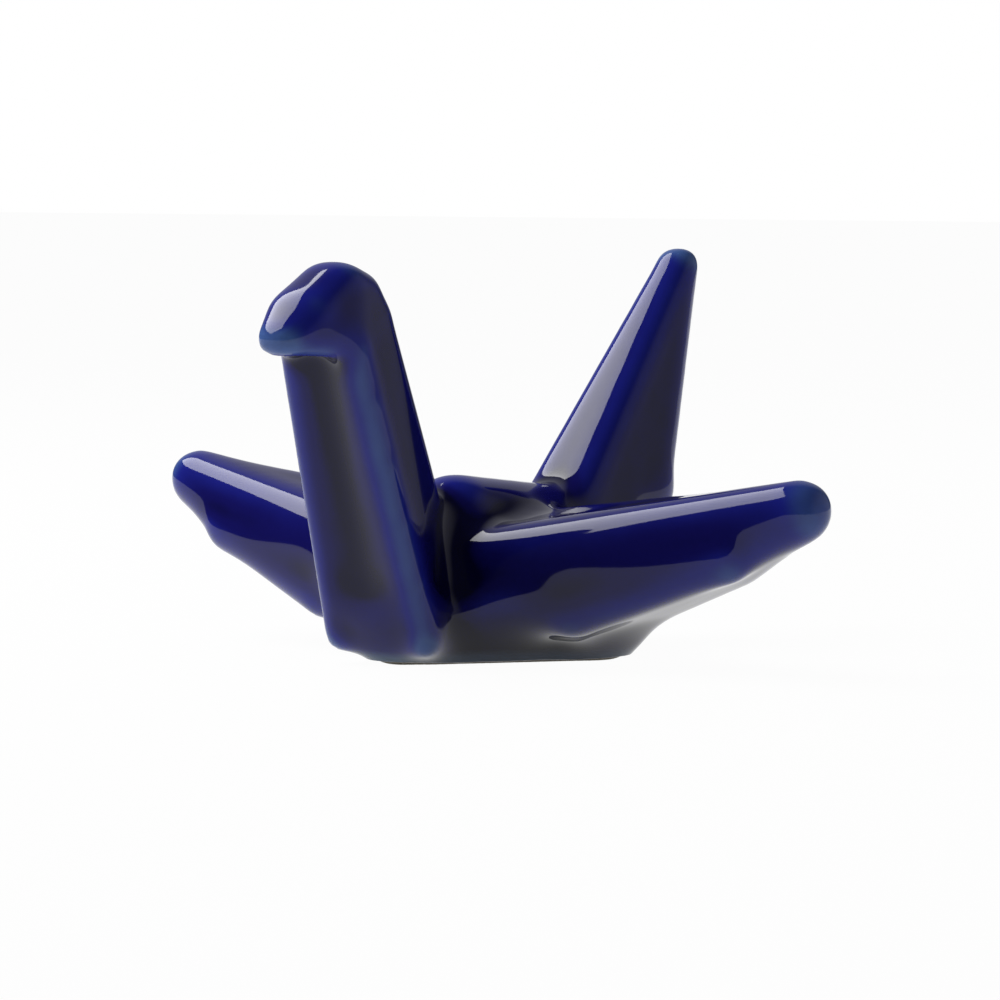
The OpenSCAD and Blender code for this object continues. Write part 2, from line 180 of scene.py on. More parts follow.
@dataclass(frozen=True)
class CraneForm:
    """Sizes of the figure in millimetres, and the signed distance that they give."""

    # Wings: a tip, a root with a front and a rear crest, and an underside with four corners.
    wing_span: float = 74.2
    wing_tip_y: float = 0.6
    wing_tip_z: float = 14.4
    wing_tip_r: float = 2.5
    wing_root_r: float = 3.5
    shoulder: tuple = (4.2, -5.3, 8.0)
    crest: tuple = (3.7, 3.7, 9.5)
    keel: tuple = (14.2, -4.8, 5.1)
    keel_r: float = 2.4
    keel_rear: tuple = (12.5, 4.5, 3.8)
    keel_rear_r: float = 1.9
    elbow: tuple = (28.6, -1.8, 10.2)
    elbow_rear: tuple = (26.0, 4.0, 9.3)
    elbow_r: float = 1.95
    wing_fold_round: float = 1.85
    crest_soft: float = 1.0
    face_soft: float = 1.25
    # Neck: a fold at the rear, two ridges in front and a groove between them.
    nape: tuple = (0.0, -16.7, 30.8)
    fold_foot: tuple = (0.0, -5.0, 2.0)
    fold_r: float = 2.0
    fold_round: float = 1.0
    ridge_top: tuple = (2.36, -21.66, 28.4)
    ridge_foot: tuple = (3.8, -13.8, 2.6)
    ridge_r: float = 1.5
    groove_deep: float = 0.8
    # Head: a hood over the neck's upper end.
    crown: tuple = (0.0, -20.6, 33.4)
    crown_r: float = 2.4
    occiput: tuple = (0.0, -18.2, 33.0)
    occiput_r: float = 2.0
    brow: tuple = (0.0, -24.2, 30.9)
    brow_r: float = 2.75
    cheek: tuple = (2.2, -21.9, 28.9)
    beak: tuple = (0.0, -27.7, 29.2)
    beak_r: float = 1.3
    # Tail: three corners, and half widths of the sheet and of the flat along its edges.
    tail_front: tuple = (0.0, 12.0, 13.5)
    tail_rear: tuple = (0.0, 22.7, 13.5)
    tail_tip: tuple = (0.0, 29.6, 34.65)
    tail_base_r: float = 3.85
    tail_tip_r: float = 2.0
    tail_base_flat: float = 1.9
    tail_tip_flat: float = 0.4
    tail_flat_soft: float = 0.8
    # Body: the back, the belly with its flanks, and the rear below the tail.
    back_front: tuple = (0.0, -3.9, 12.4)
    back_mid: tuple = (0.0, 8.25, 10.9)
    back_rear: tuple = (0.0, 16.4, 10.0)
    body_r: float = 4.1
    belly_front: tuple = (0.0, 2.6, 7.5)
    belly_rear: tuple = (0.0, 15.6, 7.5)
    flank: tuple = (8.6, 2.6, 3.0)
    flank_r: float = 3.6
    haunch: tuple = (3.7, 5.0, 8.0)
    haunch_r: float = 2.6
    rump: tuple = (0.0, 16.0, 9.5)
    rump_r: float = 3.4
    # Foot: a plinth that gets wider upwards by its lean.
    foot_front: tuple = (0.0, -10.6, 0.0)
    foot_side: tuple = (9.8, 2.6, 0.0)
    foot_rear: tuple = (0.0, 15.6, 0.0)
    foot_r: float = 3.4
    foot_lean: float = 0.5
    foot_top: float = 6.0
    foot_top_soft: float = 3.0
    foot_below: float = 4.0
    foot_edge_r: float = 0.7
    # How far the members melt into each other.
    blend_neck: float = 2.0
    blend_head: float = 0.2
    blend_tail: float = 1.4
    blend_wing: float = 2.8
    blend_rump: float = 1.2
    blend_flank: float = 1.0
    blend_foot: float = 3.7
    # Thickness of the glaze, and the space in which the surfaces are looked for.
    coat: float = 0.35
    space_x: float = 2.0
    space_y: tuple = (-33.0, 34.0)
    space_z: tuple = (-6.0, 38.0)

    def space(self) -> tuple[Array, Array]:
        """Low and high corner of a box that holds the whole figure with room to spare."""
        half = self.wing_span / 2 + self.space_x
        return tuple(point(x, y, z) for x, y, z in zip((-half, half), self.space_y, self.space_z))

    @cached_property
    def wing_tip(self) -> Array:
        """Middle of a wing's round end."""
        return point(self.wing_span / 2 - self.wing_tip_r, self.wing_tip_y, self.wing_tip_z)

    def neck_at(self, q: Array) -> Array:
        """Distance to the neck: the least of those to its sheets.

        Two sheets are a side from the fold to a front ridge, two are the web between the
        ridges, and two are the core from the fold to the web.

        Args:
            q: points, turned over to one half at the neck's fold.

        Returns:
            One distance for each point.
        """
        nape, fold = np.array(self.nape), np.array(self.fold_foot)
        top, foot = np.array(self.ridge_top), np.array(self.ridge_foot)
        back = point(0, self.groove_deep, 0)
        web_top, web_foot = top * point(0, 1, 1) + back, foot * point(0, 1, 1) + back
        rear, ridge = self.fold_r, self.ridge_r
        side = np.minimum(
            sheet(q, (nape, top, foot), (rear, ridge, ridge)),
            sheet(q, (nape, foot, fold), (rear, ridge, rear)),
        )
        web = np.minimum(
            sheet(q, (top, foot, web_foot), (ridge,) * 3),
            sheet(q, (top, web_foot, web_top), (ridge,) * 3),
        )
        core = np.minimum(
            sheet(q, (nape, web_top, web_foot), (rear, ridge, ridge)),
            sheet(q, (nape, web_foot, fold), (rear, ridge, rear)),
        )
        return np.minimum(np.minimum(side, web), core)

    def head_at(self, q: Array) -> Array:
        """Distance to the head: the least of those to its sheets.

        The sheets make a hood that goes from the crown to the beak and to the front ridges.

        Args:
            q: points, turned over to one half at the neck's fold.

        Returns:
            One distance for each point.
        """
        crown, brow, rear, ridge = self.crown_r, self.brow_r, self.fold_r, self.ridge_r
        front = np.minimum(
            sheet(q, (self.brow, self.beak, self.cheek), (brow, self.beak_r, ridge)),
            sheet(q, (self.crown, self.brow, self.cheek), (crown, brow, ridge)),
        )
        side = np.minimum(
            sheet(q, (self.crown, self.occiput, self.cheek), (crown, self.occiput_r, ridge)),
            sheet(q, (self.occiput, self.nape, self.cheek), (self.occiput_r, rear, ridge)),
        )
        return np.minimum(front, side)

    def tail_at(self, p: Array) -> Array:
        """Distance to the tail: an upright sheet whose edges are flat in the middle.

        The flat's half width is taken off the distance to the middle plane, softly and down
        to zero. It goes evenly from its size at the base to its size at the tip.

        Args:
            p: points, one a row.

        Returns:
            One distance for each point.
        """
        base, tip = self.tail_base_r - self.tail_base_flat, self.tail_tip_r - self.tail_tip_flat
        rise = (p[:, 2] - self.tail_front[2]) / (self.tail_tip[2] - self.tail_front[2])
        slimming = self.tail_tip_flat - self.tail_base_flat
        flat = self.tail_base_flat + slimming * np.clip(rise, 0.0, 1.0)
        aside = soft_max(np.abs(p[:, 0]) - flat, np.zeros(len(p)), self.tail_flat_soft)
        q = np.stack([aside, p[:, 1], p[:, 2]], axis=1)
        return sheet(q, (self.tail_front, self.tail_rear, self.tail_tip), (base, base, tip))

    def wing_at(self, w: Array) -> Array:
        """Distance to a wing: the least of those to its sheets.

        The sheets make a wedge with a front, a top, a rear and a broad underside, and one
        through its middle. The front runs softly into the rest.

        Args:
            w: points, turned over to one half at the wings' fold.

        Returns:
            One distance for each point.
        """
        end, root, bend = self.wing_tip_r, self.wing_root_r, self.elbow_r
        keel, keel_rear = self.keel_r, self.keel_rear_r
        tip, top, crest = self.wing_tip, self.shoulder, self.crest
        fore, low, aft, back = self.elbow, self.keel, self.elbow_rear, self.keel_rear
        face = soft_min(
            sheet(w, (tip, top, fore), (end, root, bend)),
            sheet(w, (top, fore, low), (root, bend, keel)),
            self.face_soft,
        )
        behind = np.minimum(
            sheet(w, (tip, crest, aft), (end, root, bend)),
            sheet(w, (crest, aft, back), (root, bend, keel_rear)),
        )
        behind = np.minimum(behind, sheet(w, (tip, top, crest), (end, root, root)))
        under = np.minimum(
            sheet(w, (fore, low, back), (bend, keel, keel_rear)),
            sheet(w, (fore, back, aft), (bend, keel_rear, bend)),
        )
        under = np.minimum(under, sheet(w, (tip, fore, aft), (end, bend, bend)))
        core = sheet(w, (tip, top, back), (end, root, keel_rear))
        return np.minimum(soft_min(face, behind, self.crest_soft), np.minimum(under, core))

    def trunk_at(self, p: Array) -> Array:
        """Distance to the body, the wings and the foot together: the soft least of theirs.

        Args:
            p: points, one a row.

        Returns:
            One distance for each point.
        """
        w = folded(p, self.wing_fold_round)
        back = sheet(p, (self.back_front, self.back_rear, self.back_mid), (self.body_r,) * 3)
        upper = soft_min(self.wing_at(w), back, self.blend_wing)
        rump = sheet(p, (self.rump, self.tail_rear, self.belly_rear), (self.rump_r,) * 3)
        thick = (self.haunch_r, self.keel_rear_r, self.haunch_r)
        haunch = sheet(w, (self.haunch, self.keel_rear, self.belly_rear), thick)
        upper = soft_min(upper, np.minimum(rump, haunch), self.blend_rump)
        flank = sheet(w, (self.belly_front, self.belly_rear, self.flank), (self.flank_r,) * 3)
        lower = soft_min(flank, self.foot_at(w), self.blend_flank)
        return soft_min(upper, lower, self.blend_foot)

    def foot_at(self, w: Array) -> Array:
        """Distance to the foot: an upright plinth over a triangle, a little wider upwards.

        It is the distance in plan, less the lean times the height, softly cut at both ends.

        Args:
            w: points, turned over to one half at the wings' fold.

        Returns:
            One distance for each point.
        """
        plan = (self.foot_front, self.foot_side, self.foot_rear)
        wall = sheet(w * point(1, 1, 0), plan, (self.foot_r,) * 3) - self.foot_lean * w[:, 2]
        ends = np.maximum(w[:, 2] - self.foot_top, -w[:, 2] - self.foot_below)
        return soft_max(wall, ends, self.foot_top_soft)

    def glaze_at(self, p: Array) -> Array:
        """Signed distance in millimetres to the outside of the glaze: the members' soft least.

        Args:
            p: points, one a row.

        Returns:
            One distance for each point.
        """
        q = folded(p, self.fold_round, 1.0)
        front = soft_min(self.neck_at(q), self.head_at(q), self.blend_head)
        rear = soft_min(self.trunk_at(p), self.tail_at(p), self.blend_tail)
        return soft_min(rear, front, self.blend_neck)

    def clay_at(self, p: Array) -> Array:
        """Signed distance to the clay: one coat under the glaze, flat on the table."""
        return soft_max(self.glaze_at(p) + self.coat, -p[:, 2], self.foot_edge_r)


def slope(distance: Distance, p: Array, step: float = 0.02) -> Array:
    """Gradient of a distance at each point, from differences of a small step."""
    shifts = np.eye(3) * step
    return np.stack([distance(p + s) - distance(p - s) for s in shifts], axis=1) / (2 * step)


@dataclass
class Skin:
    """Triangles with their corners in millimetres.

    Each corner has a shading normal and a bend, the sum of the surface's two curvatures there
    in 1/mm: positive on an edge, zero on a flat, negative in a corner.
    """

    points: Array
    faces: Array
    normals: Array
    bend: Array

    @staticmethod
    def sides(faces: Array) -> Array:
        """The three sides of each triangle as it runs round, as two corner numbers."""
        return np.concatenate([faces[:, [0, 1]], faces[:, [1, 2]], faces[:, [2, 0]]])

    @classmethod
    def edges(cls, faces: Array) -> Array:
        """Each edge of the triangles once, as two corner numbers."""
        return np.unique(np.sort(cls.sides(faces), axis=1), axis=0)

    @staticmethod
    def evened(values: Array, edges: Array, rounds: int) -> Array:
        """Values at the corners, moved half way to their neighbours' mean in each round.

        Args:
            values: rows of numbers, one row for each corner.
            edges: pairs of corner numbers.
            rounds: how often the values are moved.

        Returns:
            The evened values.
        """
        total = len(values)
        a, b = edges.T
        share = 0.5 / np.maximum(np.bincount(edges.ravel(), minlength=total), 1)
        columns = []
        for column in values.T:
            for _ in range(rounds):
                around = np.bincount(a, column[b], total) + np.bincount(b, column[a], total)
                column = column / 2 + around * share
            columns.append(column)
        return np.stack(columns, axis=1)

    @classmethod
    def molten(cls, points: Array, faces: Array, rounds: int, bend_rounds: int) -> "Skin":
        """A closed surface whose sharp places have run smooth, as glaze does in the fire.

        The points are evened out. What that takes off is evened out in turn and put back, so
        the surface as a whole doesn't shrink. The normals are the means of the faces', and the
        bend is twice the mean, over the edges at a corner, of the normals' change along the
        edge for each millimetre of it.

        Args:
            points: corners of the triangles.
            faces: rows of three corner numbers.
            rounds: how often the points are evened out.
            bend_rounds: how often the bend is.

        Returns:
            The smooth skin.
        """
        edges = cls.edges(faces)
        soft = cls.evened(points, edges, rounds)
        points = soft + cls.evened(points - soft, edges, rounds)
        corners = points[faces]
        across = np.cross(corners[:, 1] - corners[:, 0], corners[:, 2] - corners[:, 0])
        total = len(points)
        sums = [np.bincount(faces.ravel(), np.repeat(v, 3), total) for v in across.T]
        normals = unit(cls.evened(unit(np.stack(sums, axis=1)), edges, bend_rounds))
        a, b = edges.T
        step = points[b] - points[a]
        turn = np.einsum("ij,ij->i", normals[b] - normals[a], step)
        turn = turn / np.maximum(np.einsum("ij,ij->i", step, step), SHORTEST_SQUARE)
        met = np.bincount(a, turn, total) + np.bincount(b, turn, total)
        bend = 2 * met / np.maximum(np.bincount(edges.ravel(), minlength=total), 1)
        bend = cls.evened(bend[:, None], edges, bend_rounds)[:, 0]
        return cls(points, faces, normals, bend)

    def cut(self, height: Array) -> "Skin":
        """Keeps the part where a height is positive, and cuts triangles along its zero.

        A triangle with one corner on the other side becomes two triangles, and one with two
        corners there becomes one. Both sides of a cut get the same new points.

        Args:
            height: one value for each point.

        Returns:
            The part that is kept.
        """
        above = height >= 0
        count = above[self.faces].sum(axis=1)
        whole = self.faces[count == 3]
        mixed = self.faces[(count == 1) | (count == 2)]
        odd_above = above[mixed].sum(axis=1) == 1
        odd = np.argmax(above[mixed] == odd_above[:, None], axis=1)
        rows = np.arange(len(mixed))[:, None]
        turned = mixed[rows, (odd[:, None] + np.arange(3)) % 3]
        ends = np.sort(np.concatenate([turned[:, [0, 1]], turned[:, [0, 2]]]), axis=1)
        edges, where = np.unique(ends, axis=0, return_inverse=True)
        where = where.ravel() + len(self.points)
        first, second = where[: len(mixed)], where[len(mixed):]
        h0, h1 = height[edges[:, 0]], height[edges[:, 1]]
        t = (h0 / (h0 - h1))[:, None]

        def with_fresh(values: Array) -> Array:
            """The values with those at the new points after them."""
            between = values[edges[:, 0]] * (1 - t) + values[edges[:, 1]] * t
            return np.concatenate([values, between])

        a, b, c = turned.T
        one = np.stack([a, first, second], axis=1)[odd_above]
        two = np.stack([first, b, c], axis=1)[~odd_above]
        three = np.stack([first, c, second], axis=1)[~odd_above]
        faces = np.concatenate([whole, one, two, three])
        used, faces = np.unique(faces, return_inverse=True)
        return Skin(
            with_fresh(self.points)[used],
            faces.reshape(-1, 3),
            unit(with_fresh(self.normals)[used]),
            with_fresh(self.bend[:, None])[used, 0],
        )

    def rim(self) -> Array:
        """Finds the open border.

        Returns:
            Edges that have a triangle on one side only, as that triangle runs along them.
        """
        ends = self.sides(self.faces)
        key = ends[:, 0] * len(self.points) + ends[:, 1]
        back = ends[:, 1] * len(self.points) + ends[:, 0]
        return ends[~np.isin(key, back)]


@dataclass(frozen=True)
class LevelSurface:
    """Finds the zero level of a distance on a grid of cells.

    Each cell that the surface passes through gets one point, the mean of the places where the
    surface meets the cell's edges. Each grid edge that the surface crosses gets two triangles
    between the points of the four cells around it. The points are then moved along the
    gradient onto the surface itself.
    """

    distance: Distance
    low: Array
    high: Array
    cell: float
    melt: float = 0.9
    melt_rounds: int = 4
    bend_part: int = 4
    block: int = 3
    exact_blocks: float = 2.3
    settle_rounds: int = 1
    least_slope: float = 0.05

    def nodes(self) -> tuple[Array, Array]:
        """Works out the distance at the grid's nodes, in blocks far from the surface.

        Returns:
            Distances at the nodes, exact near the surface, and the grid's shape.
        """
        blocks = np.ceil((self.high - self.low) / (self.cell * self.block)).astype(int) + 1
        shape = blocks * self.block
        coarse = np.stack(np.indices(blocks), axis=-1).reshape(-1, 3) * self.block
        rough = self.distance(self.low + coarse * self.cell).reshape(blocks)
        for axis in range(3):
            rough = np.repeat(rough, self.block, axis=axis)
        values = rough.ravel()
        close = np.flatnonzero(np.abs(values) < self.exact_blocks * self.block * self.cell)
        places = np.stack(np.unravel_index(close, shape), axis=1)
        values[close] = self.distance(self.low + places * self.cell)
        return values.reshape(shape), shape

    def crossings(self, values: Array, axis: int) -> tuple[Array, Array, Array]:
        """Grid edges along an axis that the surface crosses.

        Args:
            values: distances at the nodes.
            axis: the axis along which the edges run.

        Returns:
            Each edge's first node, the part of the edge at which it is crossed, and whether
            the first node is inside.
        """
        first = np.take(values, range(values.shape[axis] - 1), axis=axis)
        second = np.take(values, range(1, values.shape[axis]), axis=axis)
        at = np.stack(np.nonzero((first < 0) != (second < 0)), axis=1)
        v0, v1 = first[tuple(at.T)], second[tuple(at.T)]
        return at, v0 / (v0 - v1), v0 < 0

    def build(self) -> Skin:
        """Finds the surface and lets it run smooth.

        Returns:
            The surface as triangles that point outwards.
        """
        values, shape = self.nodes()
        total = int(np.prod(shape))
        sums, hits, quads = np.zeros((total, 3)), np.zeros(total), []
        for axis in range(3):
            at, part, starts_inside = self.crossings(values, axis)
            places = at.astype(float)
            places[:, axis] += part
            u, v = (axis + 1) % 3, (axis + 2) % 3
            corners = []
            for du, dv in ((0, 0), (-1, 0), (-1, -1), (0, -1)):
                cell = at.copy()
                cell[:, u] += du
                cell[:, v] += dv
                flat = np.ravel_multi_index(tuple(cell.T), shape)
                hits += np.bincount(flat, minlength=total)
                for k in range(3):
                    sums[:, k] += np.bincount(flat, places[:, k], total)
                corners.append(flat)
            quad = np.stack(corners, axis=1)
            quads.append(np.where(starts_inside[:, None], quad, quad[:, ::-1]))
        quad = np.concatenate(quads)
        used, quad = np.unique(quad, return_inverse=True)
        quad = quad.reshape(-1, 4)
        points = self.low + sums[used] / hits[used, None] * self.cell
        faces = np.concatenate([quad[:, [0, 1, 2]], quad[:, [0, 2, 3]]])
        rounds = round((self.melt / self.cell) ** 2 * self.melt_rounds)
        return Skin.molten(self.settled(points), faces, rounds, rounds // self.bend_part)

    def settled(self, points: Array) -> Array:
        """Moves points along the gradient onto the zero level.

        Args:
            points: places near the surface.

        Returns:
            The moved points.
        """
        for _ in range(self.settle_rounds):
            g = slope(self.distance, points)
            square = np.maximum(np.einsum("ij,ij->i", g, g), self.least_slope)
            step = np.clip(self.distance(points) / square, -self.cell, self.cell)
            points = points - g * step[:, None]
        return points


class Member(Enum):
    """Members of the figure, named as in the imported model."""

    BODY = "body"
    NECK = "neck"
    HEAD = "head"
    TAIL = "tail"
    LEFT_WING = "left_wing"
    RIGHT_WING = "right_wing"


@dataclass(frozen=True)
class Joints:
    """Planes along which the figure is put together, in millimetres and degrees."""

    wing_x: float = 15.02
    tail_z: float = 16.1
    saddle_end_y: float = 7.6
    neck_y: float = -7.8
    neck_z: float = 16.0
    neck_tilt: float = 11.0
    head_y: float = -18.95
    head_z: float = 28.9
    head_tilt: float = 15.5

    def before_neck_joint(self, p: Array) -> Array:
        """Distance in front of the joint between neck and body."""
        a = np.radians(self.neck_tilt)
        return (self.neck_y - p[:, 1]) * np.cos(a) + (p[:, 2] - self.neck_z) * np.sin(a)

    def above_head_joint(self, p: Array) -> Array:
        """Distance above the joint between neck and head."""
        a = np.radians(self.head_tilt)
        return (self.head_y - p[:, 1]) * np.sin(a) + (p[:, 2] - self.head_z) * np.cos(a)

    def above_tail_joint(self, p: Array) -> Array:
        """Distance above the tail's joint, behind the saddle."""
        return np.minimum(p[:, 2] - self.tail_z, p[:, 1] - self.saddle_end_y)

    def members(self, skin: Skin) -> dict[Member, Skin]:
        """Cuts a whole skin into the members' skins.

        Args:
            skin: triangles of the whole figure.

        Returns:
            One skin for each member.
        """
        middle = skin.cut(self.wing_x - np.abs(skin.points[:, 0]))
        ahead = self.before_neck_joint(middle.points)
        front, rear = middle.cut(ahead), middle.cut(-ahead)
        raised = self.above_head_joint(front.points)
        risen = self.above_tail_joint(rear.points)
        return {
            Member.BODY: rear.cut(-risen),
            Member.NECK: front.cut(-raised),
            Member.HEAD: front.cut(raised),
            Member.TAIL: rear.cut(risen),
            Member.LEFT_WING: skin.cut(skin.points[:, 0] - self.wing_x),
            Member.RIGHT_WING: skin.cut(-skin.points[:, 0] - self.wing_x),
        }


class Graph:
    """A material's or world's nodes, made and linked in short lines."""

    def __init__(self, tree: bpy.types.NodeTree) -> None:
        """Starts with an empty tree."""
        self.tree = tree
        tree.nodes.clear()

    def node(self, kind: str, inputs: dict | None = None, **settings: object) -> bpy.types.Node:
        """Adds a node.

        Args:
            kind: the node's type without its prefix.
            inputs: values or other nodes' outputs, by input name or number.
            settings: the node's own properties.

        Returns:
            The new node.
        """
        made = self.tree.nodes.new("ShaderNode" + kind)
        for name, value in settings.items():
            setattr(made, name, value)
        for name, value in (inputs or {}).items():
            self.feed(made.inputs[name], value)
        return made

    def feed(self, socket: bpy.types.NodeSocket, value: object) -> None:
        """Gives an input a value of its own or a link.

        Args:
            socket: the input.
            value: a number, a colour, a direction or another node's output.
        """
        if isinstance(value, bpy.types.NodeSocket):
            self.tree.links.new(value, socket)
        else:
            socket.default_value = value

    def math(self, operation: str, a: object, b: object = 0.0, c: object = 0.0) -> bpy.types.NodeSocket:
        """One sum, product or other operation on values or outputs."""
        return self.node("Math", {0: a, 1: b, 2: c}, operation=operation).outputs[0]

    def ramp(self, value: object, low: float, high: float) -> bpy.types.NodeSocket:
        """Goes smoothly from 0 at low to 1 at high."""
        inputs = {"Value": value, "From Min": low, "From Max": high}
        return self.node("MapRange", inputs, interpolation_type="SMOOTHSTEP").outputs[0]

    def mix(self, part: object, a: object, b: object) -> bpy.types.NodeSocket:
        """Colour that goes from one to another.

        Args:
            part: 0 for the first colour, 1 for the second.
            a: the first colour.
            b: the second colour.

        Returns:
            The mixed colour's output.
        """
        made = self.node("Mix", data_type="RGBA")
        sockets = [s for s in made.inputs if s.enabled]
        for socket, value in zip(sockets, (part, a, b)):
            self.feed(socket, value)
        return next(s for s in made.outputs if s.enabled)

    def noise(self, size_mm: float, detail: float = 2.0) -> bpy.types.NodeSocket:
        """Cloudy values from 0 to 1, fixed to the piece.

        Args:
            size_mm: about the size of a patch.
            detail: how many finer layers lie in it.

        Returns:
            The values' output.
        """
        place = self.node("TexCoord").outputs["Object"]
        inputs = {"Vector": place, "Scale": 1 / (size_mm * MM), "Detail": detail}
        return self.node("TexNoise", inputs).outputs["Fac"]

    def finish(self, shader: bpy.types.Node, output: str = "OutputMaterial") -> None:
        """Ends the tree in its output."""
        self.node(output, {"Surface": shader.outputs[0]})


def colour(r: int, g: int, b: int) -> tuple[float, float, float, float]:
    """A screen colour as the linear light that shaders take, by the sRGB curve.

    Args:
        r: red, 0 to 255.
        g: green, 0 to 255.
        b: blue, 0 to 255.

    Returns:
        Red, green, blue and a full alpha.
    """
    s = np.array([r, g, b]) / 255
    light = np.where(s <= 0.04045, s / 12.92, ((s + 0.055) / 1.055) ** 2.4)
    return (float(light[0]), float(light[1]), float(light[2]), 1.0)


@dataclass(frozen=True)
class CobaltGlaze:
    """Glossy cobalt glass: clear blue where it runs thin, dark in hollows from pooled glaze and painted
    shade, lighter on rounded parts from a painted sheen.
    """

    # Hollows: the dark blue of pooled glaze, deepened by painted shade.
    pool_and_shade: tuple = colour(9, 8, 52)
    deep: tuple = colour(19, 17, 96)
    # Painted sheen: rounded parts get a lighter blue, as if lit.
    painted_sheen: tuple = colour(30, 36, 140)
    thin: tuple = colour(72, 102, 166)
    foot: tuple = colour(96, 122, 150)
    speck: tuple = colour(128, 132, 158)
    pool_and_shade_bend: tuple = (-0.12, 0.10)
    painted_sheen_bend: tuple = (0.08, 0.45)
    thin_bend: tuple = (0.40, 0.95)
    drift_size: float = 6.0
    drift_range: float = 0.16
    speck_apart: float = 4.0
    speck_radius: float = 0.1
    foot_fade: tuple = (1.6, 0.5)
    ripple_size: float = 3.0
    ripple_layers: float = 1.0
    ripple_strength: float = 0.04
    ripple_depth: float = 0.1
    roughness: float = 0.06
    index: float = 1.36

    def material(self) -> bpy.types.Material:
        """Builds the material: colour from the surface's bend, with painted shade in hollows, a painted
        sheen on rounded parts, cloudy drift and specks.

        Returns:
            The material, which reads the bend attribute of the piece.
        """
        made = bpy.data.materials.new("cobalt_glaze")
        made.use_nodes = True
        g = Graph(made.node_tree)
        bend = g.node("Attribute", attribute_name="bend").outputs["Fac"]
        drift = g.math("MULTIPLY_ADD", g.noise(self.drift_size), self.drift_range, -self.drift_range / 2)
        bend = g.math("ADD", bend, drift)
        # Hollows darken: pooled glaze and painted shade.
        tone = g.mix(g.ramp(bend, *self.pool_and_shade_bend), self.pool_and_shade, self.deep)
        # Rounded parts lighten: a painted sheen.
        tone = g.mix(g.ramp(bend, *self.painted_sheen_bend), tone, self.painted_sheen)
        tone = g.mix(g.ramp(bend, *self.thin_bend), tone, self.thin)
        place = g.node("TexCoord").outputs["Object"]
        cells = g.node("TexVoronoi", {"Vector": place, "Scale": 1 / (self.speck_apart * MM)})
        near = self.speck_radius / self.speck_apart
        tone = g.mix(g.ramp(cells.outputs["Distance"], near, near / 2), tone, self.speck)
        height = g.node("SeparateXYZ", {0: place}).outputs["Z"]
        near_foot = g.ramp(height, *(z * MM for z in self.foot_fade))
        tone = g.mix(near_foot, tone, self.foot)
        relief = {
            "Height": g.noise(self.ripple_size, self.ripple_layers),
            "Strength": self.ripple_strength,
            "Distance": self.ripple_depth * MM,
        }
        bump = g.node("Bump", relief)
        shader = g.node(
            "BsdfPrincipled",
            {
                "Base Color": tone,
                "Roughness": self.roughness,
                "IOR": self.index,
                "Normal": bump.outputs[0],
            },
        )
        g.finish(shader)
        return made


@dataclass(frozen=True)
class BareClay:
    """Unglazed fired stoneware: matt, cream, with fine grains."""

    cream: tuple = colour(206, 200, 186)
    grain: tuple = colour(150, 138, 118)
    grain_size: float = 0.5
    grain_share: tuple = (0.52, 0.72)
    pore_size: float = 0.35
    pore_strength: float = 0.3
    pore_depth: float = 0.08
    fine_layers: float = 3.0
    roughness: float = 0.85

    def material(self) -> bpy.types.Material:
        """Builds the material: cream with darker grains and a rough skin.

        Returns:
            The material.
        """
        made = bpy.data.materials.new("bare_clay")
        made.use_nodes = True
        g = Graph(made.node_tree)
        grains = g.ramp(g.noise(self.grain_size, self.fine_layers), *self.grain_share)
        tone = g.mix(grains, self.cream, self.grain)
        relief = {
            "Height": g.noise(self.pore_size, self.fine_layers),
            "Strength": self.pore_strength,
            "Distance": self.pore_depth * MM,
        }
        bump = g.node("Bump", relief)
        shader = g.node(
            "BsdfPrincipled",
            {"Base Color": tone, "Roughness": self.roughness, "Normal": bump.outputs[0]},
        )
        g.finish(shader)
        return made


def add_piece(
    name: str,
    points: Array,
    faces: Array,
    normals: Array,
    material: bpy.types.Material,
    values: dict[str, Array] | None = None,
) -> bpy.types.Object:
    """Makes a smooth mesh object from arrays.

    Args:
        name: the piece's name.
        points: corners in millimetres.
        faces: triangles as rows of three corner numbers.
        normals: a direction for each corner, used for shading.
        material: the finish.
        values: named numbers for each corner, for the finish to read.

    Returns:
        The object, at the origin, in metres.
    """
    mesh = bpy.data.meshes.new(name)
    mesh.vertices.add(len(points))
    mesh.vertices.foreach_set("co", (points * MM).astype(np.float32).ravel())
    mesh.loops.add(faces.size)
    mesh.loops.foreach_set("vertex_index", faces.astype(np.int32).ravel())
    mesh.polygons.add(len(faces))
    mesh.polygons.foreach_set("loop_start", np.arange(0, faces.size, 3, dtype=np.int32))
    mesh.polygons.foreach_set("use_smooth", np.ones(len(faces), dtype=bool))
    mesh.update(calc_edges=True)
    mesh.validate()
    mesh.normals_split_custom_set_from_vertices(normals.astype(np.float32))
    for key, value in (values or {}).items():
        layer = mesh.attributes.new(key, "FLOAT", "POINT")
        layer.data.foreach_set("value", value.astype(np.float32))
    mesh.materials.append(material)
    made = bpy.data.objects.new(name, mesh)
    bpy.context.scene.collection.objects.link(made)
    return made


